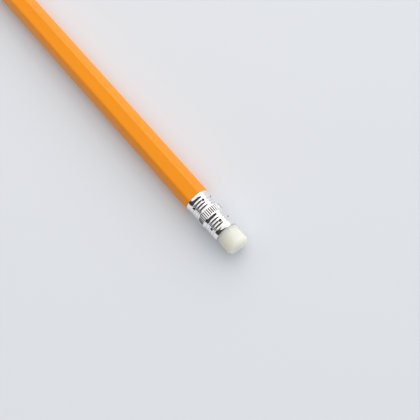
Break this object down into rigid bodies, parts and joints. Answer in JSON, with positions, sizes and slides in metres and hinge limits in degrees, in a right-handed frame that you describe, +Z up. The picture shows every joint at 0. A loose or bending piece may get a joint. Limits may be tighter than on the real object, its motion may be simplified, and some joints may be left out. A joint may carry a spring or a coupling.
{
  "type": "graphite pencil",
  "caption": "Sharpened hexagonal graphite pencil with orange lacquer, a crimped aluminium ferrule and a white eraser, lying on a flat.",
  "frame": {"origin": "on the surface the pencil lies on, under the middle of its length, below its axis", "axes": "+X along the pencil's axis from the sharpened point to the eraser, +Z up through the middle of the upper flat, +Y across"},
  "size_m": [0.19, 0.0076, 0.0075],
  "materials": {
    "cedar": "bare, knife cut",
    "glue": "set white glue",
    "graphite": "fired graphite and clay, soft sheen",
    "lacquer": "glossy orange lacquer",
    "aluminium": "bright, rolled and punched thin tube",
    "eraser": "matte off-white"
  },
  "bodies": {
    "root": {"slat_upper": "cedar", "slat_lower": "cedar", "glue_film": "glue", "graphite_core": "graphite", "lacquer_coat": "lacquer", "ferrule": "aluminium", "eraser": "eraser"}
  },
  "joints": []
}
